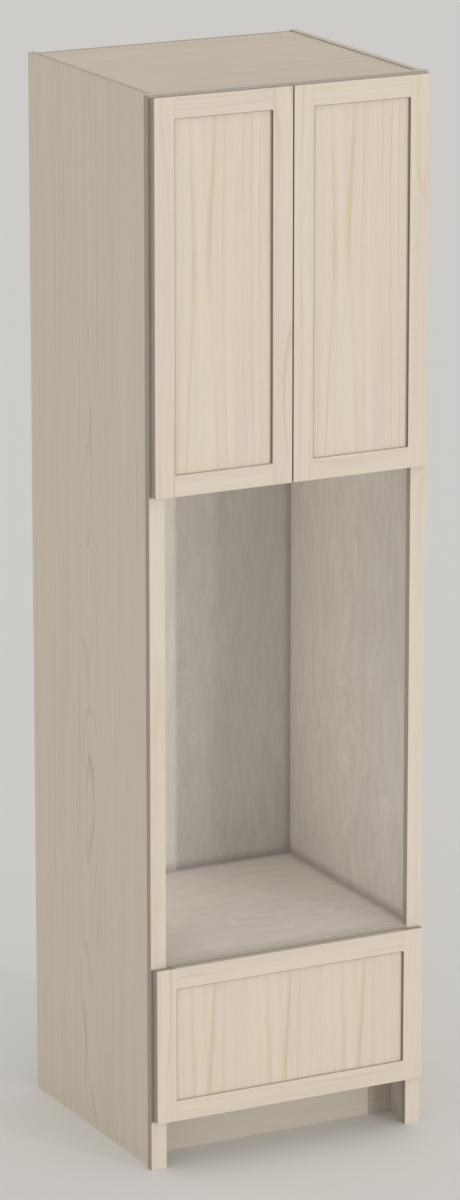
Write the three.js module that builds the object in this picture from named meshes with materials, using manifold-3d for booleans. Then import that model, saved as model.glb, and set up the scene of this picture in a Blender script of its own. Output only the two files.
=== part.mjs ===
// Tall oven housing cabinet with a face frame, in maple: a two-door cupboard over an open oven cavity,
// over one deep drawer and a toe space. Millimetres, +Z up, the front faces -Y, and the origin is at the
// middle of the bottom of the whole cabinet, doors included.
import * as THREE from "three";
import { mergeVertices } from "three/addons/utils/BufferGeometryUtils.js";
import Module from "manifold-3d";

const wasm = await Module();
wasm.setup();

// ---- Driving dimensions -------------------------------------------------------------------------
const INCH = 25.4;

// Overall, from the wall to the front of the face frame
const WIDTH = 27 * INCH;
const HEIGHT = 96 * INCH;
const DEPTH = 24 * INCH;

// Carcass boards
const SIDE_THICKNESS = 0.625 * INCH;
const DECK_THICKNESS = 0.625 * INCH;
const OVEN_SHELF_THICKNESS = 0.75 * INCH;
const BACK_THICKNESS = 0.5 * INCH;
const TOP_DROP = 0.125 * INCH; // the top panel lies this far below the upper ends of the sides
const TOE_BOARD_THICKNESS = 0.5 * INCH;
const TOE_BOARD_SETBACK = 3 * INCH; // behind the face frame
const HANGING_RAIL_HEIGHT = 3 * INCH;
const HANGING_RAIL_THICKNESS = 0.75 * INCH;

// Face frame
const FRAME_THICKNESS = 0.75 * INCH;
const STILE_WIDTH = 1.5 * INCH;
const RAIL_HEIGHT = 1.5 * INCH;
const FRAME_OVERHANG = 0.25 * INCH; // the frame stands this far past each side panel

// Heights, from the floor up; the doors take what is left
const TOE_HEIGHT = 4.5 * INCH;
const DRAWER_FRONT_HEIGHT = 14.1875 * INCH;
const DRAWER_REVEAL = 0.25 * INCH; // frame showing over the drawer front
const OVEN_OPENING_HEIGHT = 42.25 * INCH;
const TOP_REVEAL = 0.125 * INCH; // frame showing over the doors

// Doors and drawer front, five pieces each
const HINGE_OVERLAY = 1.25 * INCH; // how far a door or the drawer front covers each stile
const FRONT_THICKNESS = 0.625 * INCH;
const FRONT_STANDOFF = 2.5; // bumper gap between a closed front and the frame
const FRONT_MEMBER_WIDTH = 1.9375 * INCH; // rails and stiles of a door
const DOOR_GAP = 0.125 * INCH;
const PANEL_THICKNESS = 0.25 * INCH;
const PANEL_BACK_LIP = 2.5; // from the back of a front's panel to the back of its stiles and rails
const GROOVE_DEPTH = 8;
const GROOVE_CLEARANCE = 0.25;

// Cupboard shelf, its pins and their rows of holes
const SHELF_THICKNESS = 0.75 * INCH;
const SHELF_SETBACK = 12; // behind the face frame
const SHELF_END_GAP = 1.5;
const PIN_HOLE_RADIUS = 2.5;
const PIN_HOLE_DEPTH = 10;
const PIN_HOLE_PITCH = 32;
const PIN_HOLES_PER_ROW = 7;
const PIN_ROW_INSET = 60; // from the front of the shelf and from the back panel
const PIN_CLEARANCE = 0.15;
const PIN_COLLAR_RADIUS = 4;
const PIN_COLLAR_THICKNESS = 1;
const PIN_HOLE_BOTTOM_GAP = 0.5; // between a pin and the bottom of its hole
const PIN_TONGUE_LENGTH = 9;
const PIN_TONGUE_WIDTH = 7;
const PIN_TONGUE_THICKNESS = 2.5;

// Drawer box and its ball-bearing slides
const DRAWER_SIDE_THICKNESS = 0.625 * INCH;
const DRAWER_END_THICKNESS = 0.625 * INCH;
const DRAWER_LIFT = 12; // above the bottom rail
const DRAWER_TOP_GAP = 24.5; // below the oven rail
const DRAWER_BACK_GAP = 66; // in front of the back panel
const DRAWER_BOTTOM_THICKNESS = 0.25 * INCH;
const DRAWER_BOTTOM_LIFT = 12.7;
const DRAWER_GROOVE_DEPTH = 6;
const SLIDE_SPACE = 0.5 * INCH; // width taken by one slide
const SLIDE_SETBACK = 3; // behind the face of the face frame
const SLIDE_END_GAP = 20; // the slides stop this far short of the drawer box's back
const SLIDE_HEIGHT = 45;
const SLIDE_WALL = 1.2;
const SLIDE_CLEARANCE = 0.5;
const SPACER_HEIGHT = 70;

// Concealed hinge: a cup bored into the door, an arm on the inner edge of the stile, a link between them
const HINGE_INSET = 3.5 * INCH; // hinge centres from the ends of the door
const CUP_RADIUS = 17.5;
const CUP_DEPTH = 12.5;
const CUP_WALL = 1.2;
const CUP_FLOOR = 0.6;
const CUP_BORE_CLEARANCE = 0.3;
const CUP_FLANGE = 1.2;
const CUP_FLANGE_RADIUS = 19.5;
const CUP_WING_REACH = 27;
const CUP_WING_INSETS = [2, 4]; // the wings lie this far in from the cup's middle and the flange's edge
const CUP_EDGE_DISTANCE = 4; // between the cup and the door's outer edge
const CUP_PIN_OFFSET = 10.8; // the cup's pin stubs, from its middle towards the door's edge
const CUP_PIN_DEPTH = 6.7; // and under the door's back face
const LINK_END_SHIFT = [0.2, 1.6]; // where the link ends with the door shut, from those stubs
const ARM_PIN_OFFSET = 1.75; // the arm's pin, from the stile's inner edge
const ARM_PIN_DEPTH = 8.1; // and under the door's back face
const HINGE_PIN_RADIUS = 1.2;
const HINGE_PIN_CLEARANCE = 0.15;
const LINK_HALF_HEIGHT = 4.8;
const LINK_HALF_WIDTH = 1.1;
const LINK_EYE_RADIUS = 2.5;
const ARM_EYE_RADIUS = 2.4;
const ARM_CHEEK_GAP = 0.4; // between the link and each cheek or pin stub
const ARM_CHEEK_THICKNESS = 1.5;
const ARM_CHEEK_HALF_WIDTH = 2.2;
const ARM_WEB_GAP = 1; // between the link's eye and the arm's web
const ARM_PLATE_THICKNESS = 2;
const ARM_PLATE_HALF_HEIGHT = 24;
const ARM_PLATE_INSET = 1.5; // from the front and back of the stile's edge

// Shaping
const ROUND_STEPS = 24; // facets of a small round
const OVERSHOOT = 1; // how far a cut runs past the surface that it starts from
const LAP = 0.5; // how far joined forms run into each other

// ---- Materials ----------------------------------------------------------------------------------
const maple = new THREE.MeshStandardMaterial({ color: 0xd6cab6, roughness: 0.5, metalness: 0 });
const mapleInside = new THREE.MeshStandardMaterial({ color: 0xc9bda9, roughness: 0.55, metalness: 0 });
const drawerMaple = new THREE.MeshStandardMaterial({ color: 0xd2c3a6, roughness: 0.55, metalness: 0 });
const slideSteel = new THREE.MeshStandardMaterial({ color: 0xb4b8bb, roughness: 0.35, metalness: 0.9 });
const hingeSteel = new THREE.MeshStandardMaterial({ color: 0xc2c4c6, roughness: 0.3, metalness: 0.9 });

// ---- Places worked out from the dimensions ------------------------------------------------------
const frontsProud = FRONT_THICKNESS + FRONT_STANDOFF;
const frameFront = frontsProud - (DEPTH + frontsProud) / 2;
const frameBack = frameFront + FRAME_THICKNESS;
const wall = frameFront + DEPTH;
const backFace = wall - BACK_THICKNESS;
const frontsBack = frameFront - FRONT_STANDOFF;
const frontsFace = frontsBack - FRONT_THICKNESS;
const panelRecess = FRONT_THICKNESS - PANEL_THICKNESS - PANEL_BACK_LIP;

const halfWidth = WIDTH / 2;
const sideOuter = halfWidth - FRAME_OVERHANG;
const sideInner = sideOuter - SIDE_THICKNESS;
const stileInner = halfWidth - STILE_WIDTH;
const frontsOuter = stileInner + HINGE_OVERLAY;

const bottomRailTop = TOE_HEIGHT + RAIL_HEIGHT;
const drawerFrontTop = TOE_HEIGHT + DRAWER_FRONT_HEIGHT;
const ovenShelfTop = drawerFrontTop + DRAWER_REVEAL;
const ovenRailUnder = ovenShelfTop - RAIL_HEIGHT;
const ovenOpeningTop = ovenShelfTop + OVEN_OPENING_HEIGHT;
const cupboardFloorTop = ovenOpeningTop + RAIL_HEIGHT;
const doorBottom = ovenOpeningTop;
const doorTop = HEIGHT - TOP_REVEAL;
const topPanelTop = HEIGHT - TOP_DROP;
const topPanelUnder = topPanelTop - DECK_THICKNESS;
const hingeHeights = { lower: doorBottom + HINGE_INSET, upper: doorTop - HINGE_INSET };

// ---- Shaping helpers ----------------------------------------------------------------------------
const cabinet = new THREE.Group();

function addPiece(name, geometry, material) {
  geometry.computeVertexNormals();
  const mesh = new THREE.Mesh(geometry, material);
  mesh.name = name;
  cabinet.add(mesh);
}

function block(x, y, z) {
  const geometry = new THREE.BoxGeometry(x[1] - x[0], y[1] - y[0], z[1] - z[0]);
  return geometry.translate((x[0] + x[1]) / 2, (y[0] + y[1]) / 2, (z[0] + z[1]) / 2);
}

// A board is a plain block in a node of its own.
function addBoard(name, material, x, y, z) {
  addPiece(name, block(x, y, z), material);
}

// Runs a section along an axis, from one place on it to another. The section's own two axes are the
// next two in turn: Y and Z along X, Z and X along Y, X and Y along Z.
function runSection(points, axis, from, to) {
  const shape = new THREE.Shape(points.map(([u, v]) => new THREE.Vector2(u, v)));
  const geometry = new THREE.ExtrudeGeometry(shape, { depth: to - from, bevelEnabled: false });
  const unit = {
    X: new THREE.Vector3(1, 0, 0),
    Y: new THREE.Vector3(0, 1, 0),
    Z: new THREE.Vector3(0, 0, 1),
  };
  const next = { X: "Y", Y: "Z", Z: "X" };
  const first = next[axis];
  const turn = new THREE.Matrix4().makeBasis(unit[first], unit[next[first]], unit[axis]);
  return geometry.translate(0, 0, from).applyMatrix4(turn);
}

// A round rod along an axis. Half a step of turn gives it flat facets towards its section's axes.
function rod(radius, axis, centre, from, to) {
  const points = [];
  for (let i = 0; i < ROUND_STEPS; i += 1) {
    const angle = ((i + 0.5) / ROUND_STEPS) * 2 * Math.PI;
    points.push([centre[0] + radius * Math.cos(angle), centre[1] + radius * Math.sin(angle)]);
  }
  return runSection(points, axis, from, to);
}

function solidOf(geometry) {
  const bare = geometry.clone();
  bare.deleteAttribute("normal");
  bare.deleteAttribute("uv");
  const merged = mergeVertices(bare, 1e-5);
  const vertProperties = new Float32Array(merged.attributes.position.array);
  const triVerts = new Uint32Array(merged.index.array);
  return new wasm.Manifold(new wasm.Mesh({ numProp: 3, vertProperties, triVerts }));
}

function geometryOf(solid) {
  const mesh = solid.getMesh();
  const geometry = new THREE.BufferGeometry();
  geometry.setAttribute("position", new THREE.BufferAttribute(new Float32Array(mesh.vertProperties), 3));
  geometry.setIndex(new THREE.BufferAttribute(new Uint32Array(mesh.triVerts), 1));
  return geometry;
}

function cut(geometry, tools) {
  return geometryOf(tools.reduce((solid, tool) => solid.subtract(solidOf(tool)), solidOf(geometry)));
}

function join(geometries) {
  const [first, ...rest] = geometries.map(solidOf);
  return geometryOf(rest.reduce((solid, other) => solid.add(other), first));
}

// The same shape on the other side of the cabinet, with its faces still pointing outwards.
function mirrored(geometry) {
  const flat = geometry.index ? geometry.toNonIndexed() : geometry.clone();
  const position = flat.attributes.position;
  for (let i = 0; i < position.count; i += 3) {
    const corners = [0, 2, 1].map((k) => new THREE.Vector3().fromBufferAttribute(position, i + k));
    corners.forEach((corner, k) => position.setXYZ(i + k, -corner.x, corner.y, corner.z));
  }
  flat.deleteAttribute("normal");
  flat.deleteAttribute("uv");
  return flat;
}

// Everything with a left and a right copy is shaped for the left and mirrored for the right.
function addPair(nameOf, geometry, material) {
  addPiece(nameOf("right"), mirrored(geometry), material);
  addPiece(nameOf("left"), geometry, material);
}

// ---- Carcass ------------------------------------------------------------------------------------
const shelfFront = frameBack + SHELF_SETBACK;
const shelfUnder = (cupboardFloorTop + topPanelUnder) / 2;
const pinRows = [shelfFront + PIN_ROW_INSET, backFace - PIN_ROW_INSET];
const pinAxisHeight = shelfUnder - PIN_TONGUE_THICKNESS / 2;

function pinHoles() {
  const holes = [];
  for (const y of pinRows) {
    for (let i = 0; i < PIN_HOLES_PER_ROW; i += 1) {
      const z = pinAxisHeight + (i - (PIN_HOLES_PER_ROW - 1) / 2) * PIN_HOLE_PITCH;
      holes.push(rod(PIN_HOLE_RADIUS, "X", [y, z], -sideInner - PIN_HOLE_DEPTH, -sideInner + OVERSHOOT));
    }
  }
  return holes;
}

function addCarcass() {
  const between = [-sideInner, sideInner];
  const inside = [frameBack, backFace];
  const bottomUnder = bottomRailTop - DECK_THICKNESS;
  const side = block([-sideOuter, -sideInner], [frameBack, wall], [0, HEIGHT]);
  addPair((hand) => `side_panel_${hand}`, cut(side, pinHoles()), maple);
  addBoard("top_panel", maple, between, inside, [topPanelUnder, topPanelTop]);
  const floorUnder = cupboardFloorTop - DECK_THICKNESS;
  addBoard("cupboard_floor", mapleInside, between, inside, [floorUnder, cupboardFloorTop]);
  const ovenShelfUnder = ovenShelfTop - OVEN_SHELF_THICKNESS;
  addBoard("oven_shelf", mapleInside, between, inside, [ovenShelfUnder, ovenShelfTop]);
  addBoard("bottom_panel", mapleInside, between, inside, [bottomUnder, bottomRailTop]);
  addBoard("back_panel", mapleInside, between, [backFace, wall], [bottomUnder, topPanelTop]);
  const hanging = [topPanelUnder - HANGING_RAIL_HEIGHT, topPanelUnder];
  addBoard("hanging_rail", mapleInside, between, [backFace - HANGING_RAIL_THICKNESS, backFace], hanging);
  const toeFront = frameBack + TOE_BOARD_SETBACK;
  addBoard("toe_kick_board", maple, between, [toeFront, toeFront + TOE_BOARD_THICKNESS], [0, bottomUnder]);
}

// ---- Cupboard shelf on four pins ----------------------------------------------------------------
function shelfPin(y) {
  const centre = [y, pinAxisHeight];
  const inner = -sideInner;
  const pinRadius = PIN_HOLE_RADIUS - PIN_CLEARANCE;
  const shank = rod(pinRadius, "X", centre, inner - PIN_HOLE_DEPTH + PIN_HOLE_BOTTOM_GAP, inner + LAP);
  const collar = rod(PIN_COLLAR_RADIUS, "X", centre, inner, inner + PIN_COLLAR_THICKNESS);
  const tongue = block(
    [inner + PIN_COLLAR_THICKNESS - LAP, inner + PIN_TONGUE_LENGTH],
    [y - PIN_TONGUE_WIDTH / 2, y + PIN_TONGUE_WIDTH / 2],
    [shelfUnder - PIN_TONGUE_THICKNESS, shelfUnder],
  );
  const besideShelf = block(
    [inner - OVERSHOOT, inner + PIN_COLLAR_THICKNESS + OVERSHOOT],
    [y - PIN_COLLAR_RADIUS - OVERSHOOT, y + PIN_COLLAR_RADIUS + OVERSHOOT],
    [shelfUnder, shelfUnder + PIN_COLLAR_RADIUS + OVERSHOOT],
  );
  return cut(join([shank, collar, tongue]), [besideShelf]);
}

function addShelf() {
  const across = [-sideInner + SHELF_END_GAP, sideInner - SHELF_END_GAP];
  const shelfBack = backFace - SHELF_END_GAP;
  const shelfTop = shelfUnder + SHELF_THICKNESS;
  addBoard("adjustable_shelf", mapleInside, across, [shelfFront, shelfBack], [shelfUnder, shelfTop]);
  addPair((hand) => `shelf_pin_front_${hand}`, shelfPin(pinRows[0]), hingeSteel);
  addPair((hand) => `shelf_pin_back_${hand}`, shelfPin(pinRows[1]), hingeSteel);
}

// ---- Face frame ---------------------------------------------------------------------------------
function addFaceFrame() {
  const thickness = [frameFront, frameBack];
  const between = [-stileInner, stileInner];
  addPair((hand) => `frame_stile_${hand}`, block([-halfWidth, -stileInner], thickness, [0, HEIGHT]), maple);
  addBoard("frame_top_rail", maple, between, thickness, [HEIGHT - RAIL_HEIGHT, HEIGHT]);
  addBoard("frame_cupboard_rail", maple, between, thickness, [ovenOpeningTop, cupboardFloorTop]);
  addBoard("frame_oven_rail", maple, between, thickness, [ovenRailUnder, ovenShelfTop]);
  addBoard("frame_bottom_rail", maple, between, thickness, [TOE_HEIGHT, bottomRailTop]);
}

// ---- Five-piece fronts --------------------------------------------------------------------------
// Section of a stile or rail with a groove in its inner edge, from 0 at the outer edge. Its second
// axis runs from the face of the front to its back.
function grooved(width) {
  const grooveFront = panelRecess - GROOVE_CLEARANCE;
  const grooveBack = panelRecess + PANEL_THICKNESS + GROOVE_CLEARANCE;
  return [
    [0, 0], [width, 0], [width, grooveFront], [width - GROOVE_DEPTH, grooveFront],
    [width - GROOVE_DEPTH, grooveBack], [width, grooveBack], [width, FRONT_THICKNESS], [0, FRONT_THICKNESS],
  ];
}

// A stile or rail whose outer edge is at `outer` and whose groove faces the way `towards` points.
function groovedStile(outer, towards, z) {
  const points = grooved(FRONT_MEMBER_WIDTH).map(([u, v]) => [outer + towards * u, frontsFace + v]);
  return runSection(points, "Z", z[0], z[1]);
}

function groovedRail(outer, towards, x) {
  const points = grooved(FRONT_MEMBER_WIDTH).map(([u, v]) => [frontsFace + v, outer + towards * u]);
  return runSection(points, "X", x[0], x[1]);
}

// The pieces of one front between x and z limits, named by where each lies.
function frontPieces(x, z) {
  const member = FRONT_MEMBER_WIDTH;
  const tongue = GROOVE_DEPTH - GROOVE_CLEARANCE;
  const panelFace = frontsFace + panelRecess;
  const inner = [x[0] + member, x[1] - member];
  return {
    low_stile: groovedStile(x[0], 1, z),
    high_stile: groovedStile(x[1], -1, z),
    top_rail: groovedRail(z[1], -1, inner),
    bottom_rail: groovedRail(z[0], 1, inner),
    panel: block(
      [inner[0] - tongue, inner[1] + tongue],
      [panelFace, panelFace + PANEL_THICKNESS],
      [z[0] + member - tongue, z[1] - member + tongue],
    ),
  };
}

const cupMiddle = -frontsOuter + CUP_EDGE_DISTANCE + CUP_RADIUS;

function addDoors() {
  const pieces = frontPieces([-frontsOuter, -DOOR_GAP / 2], [doorBottom, doorTop]);
  const bores = Object.values(hingeHeights).map((z) => {
    const centre = [z, cupMiddle];
    const depth = CUP_DEPTH + CUP_BORE_CLEARANCE;
    return rod(CUP_RADIUS + CUP_BORE_CLEARANCE, "Y", centre, frontsBack - depth, frontsBack + OVERSHOOT);
  });
  addPair((hand) => `${hand}_door_hinge_stile`, cut(pieces.low_stile, bores), maple);
  addPair((hand) => `${hand}_door_meeting_stile`, pieces.high_stile, maple);
  addPair((hand) => `${hand}_door_top_rail`, pieces.top_rail, maple);
  addPair((hand) => `${hand}_door_bottom_rail`, pieces.bottom_rail, maple);
  addPair((hand) => `${hand}_door_panel`, pieces.panel, maple);
}

// ---- Concealed hinges ---------------------------------------------------------------------------
// Plan positions of the pins on the left door.
const cupPin = [cupMiddle - CUP_PIN_OFFSET, frontsBack - CUP_PIN_DEPTH];
const armPin = [-stileInner + ARM_PIN_OFFSET, frontsBack - ARM_PIN_DEPTH];
const linkEnd = [cupPin[0] + LINK_END_SHIFT[0], cupPin[1] + LINK_END_SHIFT[1]];

// The cup's flange is half a disc with two screw wings, on the side away from the door's edge. The open
// pivot is two pin stubs, above and below the link's end.
function hingeCup(z) {
  const centre = [z, cupMiddle];
  const rim = frontsBack;
  const flangeTop = rim + CUP_FLANGE;
  const shell = rod(CUP_RADIUS, "Y", centre, rim - CUP_DEPTH, rim);
  const flangeDisc = rod(CUP_FLANGE_RADIUS, "Y", centre, rim, flangeTop);
  const otherHalf = block(
    [cupMiddle - CUP_FLANGE_RADIUS - OVERSHOOT, cupMiddle],
    [rim - OVERSHOOT, flangeTop + OVERSHOOT],
    [z - CUP_FLANGE_RADIUS - OVERSHOOT, z + CUP_FLANGE_RADIUS + OVERSHOOT],
  );
  const wings = block(
    [cupMiddle + CUP_WING_INSETS[0], cupMiddle + CUP_FLANGE_RADIUS - CUP_WING_INSETS[1]],
    [rim, flangeTop],
    [z - CUP_WING_REACH, z + CUP_WING_REACH],
  );
  const innerRadius = CUP_RADIUS - CUP_WALL;
  const cavity = rod(innerRadius, "Y", centre, rim - CUP_DEPTH + CUP_FLOOR, flangeTop + OVERSHOOT);
  const body = cut(join([shell, cut(flangeDisc, [otherHalf]), wings]), [cavity]);
  const stubStart = LINK_HALF_HEIGHT + ARM_CHEEK_GAP;
  const stubEnd = Math.sqrt(innerRadius ** 2 - CUP_PIN_OFFSET ** 2) + CUP_WALL / 2;
  const upperStub = rod(HINGE_PIN_RADIUS, "Z", cupPin, z + stubStart, z + stubEnd);
  const lowerStub = rod(HINGE_PIN_RADIUS, "Z", cupPin, z - stubEnd, z - stubStart);
  return join([body, upperStub, lowerStub]);
}

// A bar with round ends, seen in plan.
function barPlan(start, end, barHalfWidth, endRadius) {
  const angle = Math.atan2(end[1] - start[1], end[0] - start[0]);
  const place = ([u, v], centre) => [
    centre[0] + u * Math.cos(angle) - v * Math.sin(angle),
    centre[1] + u * Math.sin(angle) + v * Math.cos(angle),
  ];
  const steps = ROUND_STEPS / 2;
  const sweep = Math.PI - Math.asin(barHalfWidth / endRadius);
  const roundEnd = (centre, away) => {
    const points = [];
    for (let i = 0; i <= steps; i += 1) {
      const turn = away + sweep * ((2 * i) / steps - 1);
      points.push(place([endRadius * Math.cos(turn), endRadius * Math.sin(turn)], centre));
    }
    return points;
  };
  return [...roundEnd(end, 0), ...roundEnd(start, Math.PI)];
}

function hingeLink(z) {
  const plan = barPlan(armPin, linkEnd, LINK_HALF_WIDTH, LINK_EYE_RADIUS);
  const bar = runSection(plan, "Z", z - LINK_HALF_HEIGHT, z + LINK_HALF_HEIGHT);
  const eyeRadius = HINGE_PIN_RADIUS + HINGE_PIN_CLEARANCE;
  const eyeReach = LINK_HALF_HEIGHT + OVERSHOOT;
  return cut(bar, [rod(eyeRadius, "Z", armPin, z - eyeReach, z + eyeReach)]);
}

// The arm is a plate on the stile's inner edge with a web forward of it, which carries two cheeks and
// the pin through them.
function hingeArm(z) {
  const stileEdge = -stileInner;
  const plateX = [stileEdge, stileEdge + ARM_PLATE_THICKNESS];
  const plateFront = frameFront + ARM_PLATE_INSET;
  const plateZ = [z - ARM_PLATE_HALF_HEIGHT, z + ARM_PLATE_HALF_HEIGHT];
  const plate = block(plateX, [plateFront, frameBack - ARM_PLATE_INSET], plateZ);
  const cheekStart = LINK_HALF_HEIGHT + ARM_CHEEK_GAP;
  const cheekEnd = cheekStart + ARM_CHEEK_THICKNESS;
  const webFront = armPin[1] + LINK_EYE_RADIUS + ARM_WEB_GAP;
  const web = block(plateX, [webFront, plateFront + LAP], [z - cheekEnd, z + cheekEnd]);
  const cheekRoot = [armPin[0], frameFront + FRAME_THICKNESS / 2];
  const cheekPlan = barPlan(armPin, cheekRoot, ARM_CHEEK_HALF_WIDTH, ARM_EYE_RADIUS);
  const stile = block(
    [stileEdge - 2 * ARM_EYE_RADIUS, stileEdge],
    [frameFront - OVERSHOOT, frameBack],
    [z - cheekEnd - OVERSHOOT, z + cheekEnd + OVERSHOOT],
  );
  const upperCheek = cut(runSection(cheekPlan, "Z", z + cheekStart, z + cheekEnd), [stile]);
  const lowerCheek = cut(runSection(cheekPlan, "Z", z - cheekEnd, z - cheekStart), [stile]);
  const pin = rod(HINGE_PIN_RADIUS, "Z", armPin, z - cheekEnd, z + cheekEnd);
  return join([plate, web, upperCheek, lowerCheek, pin]);
}

function addHinges() {
  for (const [level, z] of Object.entries(hingeHeights)) {
    addPair((hand) => `${hand}_hinge_${level}_cup`, hingeCup(z), hingeSteel);
    addPair((hand) => `${hand}_hinge_${level}_link`, hingeLink(z), hingeSteel);
    addPair((hand) => `${hand}_hinge_${level}_arm`, hingeArm(z), hingeSteel);
  }
}

// ---- Drawer -------------------------------------------------------------------------------------
const boxOuter = stileInner - SLIDE_SPACE;
const boxInner = boxOuter - DRAWER_SIDE_THICKNESS;
const boxBottom = bottomRailTop + DRAWER_LIFT;
const boxTop = ovenRailUnder - DRAWER_TOP_GAP;
const boxFront = frontsBack;
const boxBack = backFace - DRAWER_BACK_GAP;
const bottomUnder = boxBottom + DRAWER_BOTTOM_LIFT;
const bottomOver = bottomUnder + DRAWER_BOTTOM_THICKNESS;
const slideMiddle = (boxBottom + boxTop) / 2;

// Section of a drawer board with the bottom's groove, from 0 at its outer face and 0 at its lower edge.
function drawerSection(thickness) {
  const grooveTop = DRAWER_BOTTOM_LIFT + DRAWER_BOTTOM_THICKNESS + GROOVE_CLEARANCE;
  const grooveUnder = DRAWER_BOTTOM_LIFT - GROOVE_CLEARANCE;
  const grooveEnd = thickness - DRAWER_GROOVE_DEPTH;
  const height = boxTop - boxBottom;
  return [
    [0, 0], [thickness, 0], [thickness, grooveUnder], [grooveEnd, grooveUnder],
    [grooveEnd, grooveTop], [thickness, grooveTop], [thickness, height], [0, height],
  ];
}

function addDrawer() {
  const front = frontPieces([-frontsOuter, frontsOuter], [TOE_HEIGHT, drawerFrontTop]);
  addPiece("drawer_front_left_stile", front.low_stile, maple);
  addPiece("drawer_front_right_stile", front.high_stile, maple);
  addPiece("drawer_front_top_rail", front.top_rail, maple);
  addPiece("drawer_front_bottom_rail", front.bottom_rail, maple);
  addPiece("drawer_front_panel", front.panel, maple);

  const sidePoints = drawerSection(DRAWER_SIDE_THICKNESS).map(([u, v]) => [boxBottom + v, -boxOuter + u]);
  const side = runSection(sidePoints, "Y", boxFront, boxBack);
  addPair((hand) => `drawer_box_${hand}_side`, side, drawerMaple);
  const frontPoints = drawerSection(DRAWER_END_THICKNESS).map(([u, v]) => [boxFront + u, boxBottom + v]);
  addPiece("drawer_box_front", runSection(frontPoints, "X", -boxInner, boxInner), drawerMaple);
  const between = [-boxInner, boxInner];
  const back = [boxBack - DRAWER_END_THICKNESS, boxBack];
  addBoard("drawer_box_back", drawerMaple, between, back, [bottomOver, boxTop]);
  const tongue = DRAWER_GROOVE_DEPTH - GROOVE_CLEARANCE;
  const bottomFront = boxFront + DRAWER_END_THICKNESS - tongue;
  const bottomAcross = [-boxInner - tongue, boxInner + tongue];
  addBoard("drawer_box_bottom", drawerMaple, bottomAcross, [bottomFront, boxBack], [bottomUnder, bottomOver]);
}

// ---- Drawer slides ------------------------------------------------------------------------------
// Section of a channel lying on its side: its web at `web`, its lips reaching `reach` towards +X.
function channel(web, reach, height) {
  const half = height / 2;
  const lip = half - SLIDE_WALL;
  const low = slideMiddle - half;
  const high = slideMiddle + half;
  return [
    [low, web], [low, web + reach], [slideMiddle - lip, web + reach], [slideMiddle - lip, web + SLIDE_WALL],
    [slideMiddle + lip, web + SLIDE_WALL], [slideMiddle + lip, web + reach], [high, web + reach], [high, web],
  ];
}

// The cabinet member lies on the stile's edge and the spacer, and the middle member in it. The drawer
// member is the narrowest channel, its web against the drawer's side and its lips reaching outwards.
function addSlides() {
  const start = frameFront + SLIDE_SETBACK;
  const end = boxBack - SLIDE_END_GAP;
  const step = SLIDE_WALL + SLIDE_CLEARANCE;
  const edge = -stileInner;
  const drawerReach = SLIDE_SPACE - 2 * step;
  const drawerChannel = channel(0, drawerReach, SLIDE_HEIGHT - 4 * step);
  const sections = {
    cabinet: channel(edge, SLIDE_SPACE - SLIDE_CLEARANCE, SLIDE_HEIGHT),
    middle: channel(edge + step, SLIDE_SPACE - step - SLIDE_CLEARANCE, SLIDE_HEIGHT - 2 * step),
    drawer: drawerChannel.map(([z, x]) => [z, -boxOuter - x]).reverse(),
  };
  for (const [name, points] of Object.entries(sections)) {
    addPair((hand) => `slide_${name}_member_${hand}`, runSection(points, "Y", start, end), slideSteel);
  }
  const spacerZ = [slideMiddle - SPACER_HEIGHT / 2, slideMiddle + SPACER_HEIGHT / 2];
  const spacer = block([-sideInner, edge], [frameBack, end], spacerZ);
  addPair((hand) => `slide_spacer_${hand}`, spacer, mapleInside);
}

addCarcass();
addShelf();
addFaceFrame();
addDoors();
addHinges();
addDrawer();
addSlides();

export default cabinet;
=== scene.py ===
import math
import random

import bmesh
import bpy
from mathutils import Matrix, Vector


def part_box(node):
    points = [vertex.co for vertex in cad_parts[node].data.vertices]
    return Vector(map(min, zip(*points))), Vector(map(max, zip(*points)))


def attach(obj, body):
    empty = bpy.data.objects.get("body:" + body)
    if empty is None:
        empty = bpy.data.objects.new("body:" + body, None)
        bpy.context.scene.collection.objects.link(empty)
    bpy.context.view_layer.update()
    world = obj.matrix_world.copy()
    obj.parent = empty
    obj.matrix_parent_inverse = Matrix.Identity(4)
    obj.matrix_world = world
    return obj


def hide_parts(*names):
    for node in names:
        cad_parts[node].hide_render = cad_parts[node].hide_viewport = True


# A tall oven housing cabinet in clear-finished maple: doors over an open oven cavity over a drawer.
# Metres, +Z up, the front faces -Y. Every piece takes its place from the fixed frame.
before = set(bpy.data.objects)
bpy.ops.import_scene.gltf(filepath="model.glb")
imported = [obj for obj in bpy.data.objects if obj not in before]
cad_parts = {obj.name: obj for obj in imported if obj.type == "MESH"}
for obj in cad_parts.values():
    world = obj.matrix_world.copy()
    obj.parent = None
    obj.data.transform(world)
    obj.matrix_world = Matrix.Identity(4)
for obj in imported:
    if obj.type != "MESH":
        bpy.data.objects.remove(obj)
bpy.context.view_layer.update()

# ---- Camera ----
# The view that the camera fit gave: a long lens some 12 m off, to the left of the front and above it.
# Its optical axis meets the picture 16 rows above the middle, which the shift gives back.
CAMERA_PLACE = (-5.661, -11.024, 4.603)
CAMERA_TURN = math.radians(-27.208)
CAMERA_TILT = math.radians(90 - 15.147)
PHOTO_HEIGHT_PIXELS = 1200
FOCAL_PIXELS = 5695.16
AXIS_ROW = 583.97
SENSOR_MM = 36


def put_in_scene(name, data):
    """Makes an object of a mesh, a lamp or a camera, and puts it in the scene."""
    made = bpy.data.objects.new(name, data)
    bpy.context.scene.collection.objects.link(made)
    return made


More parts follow.
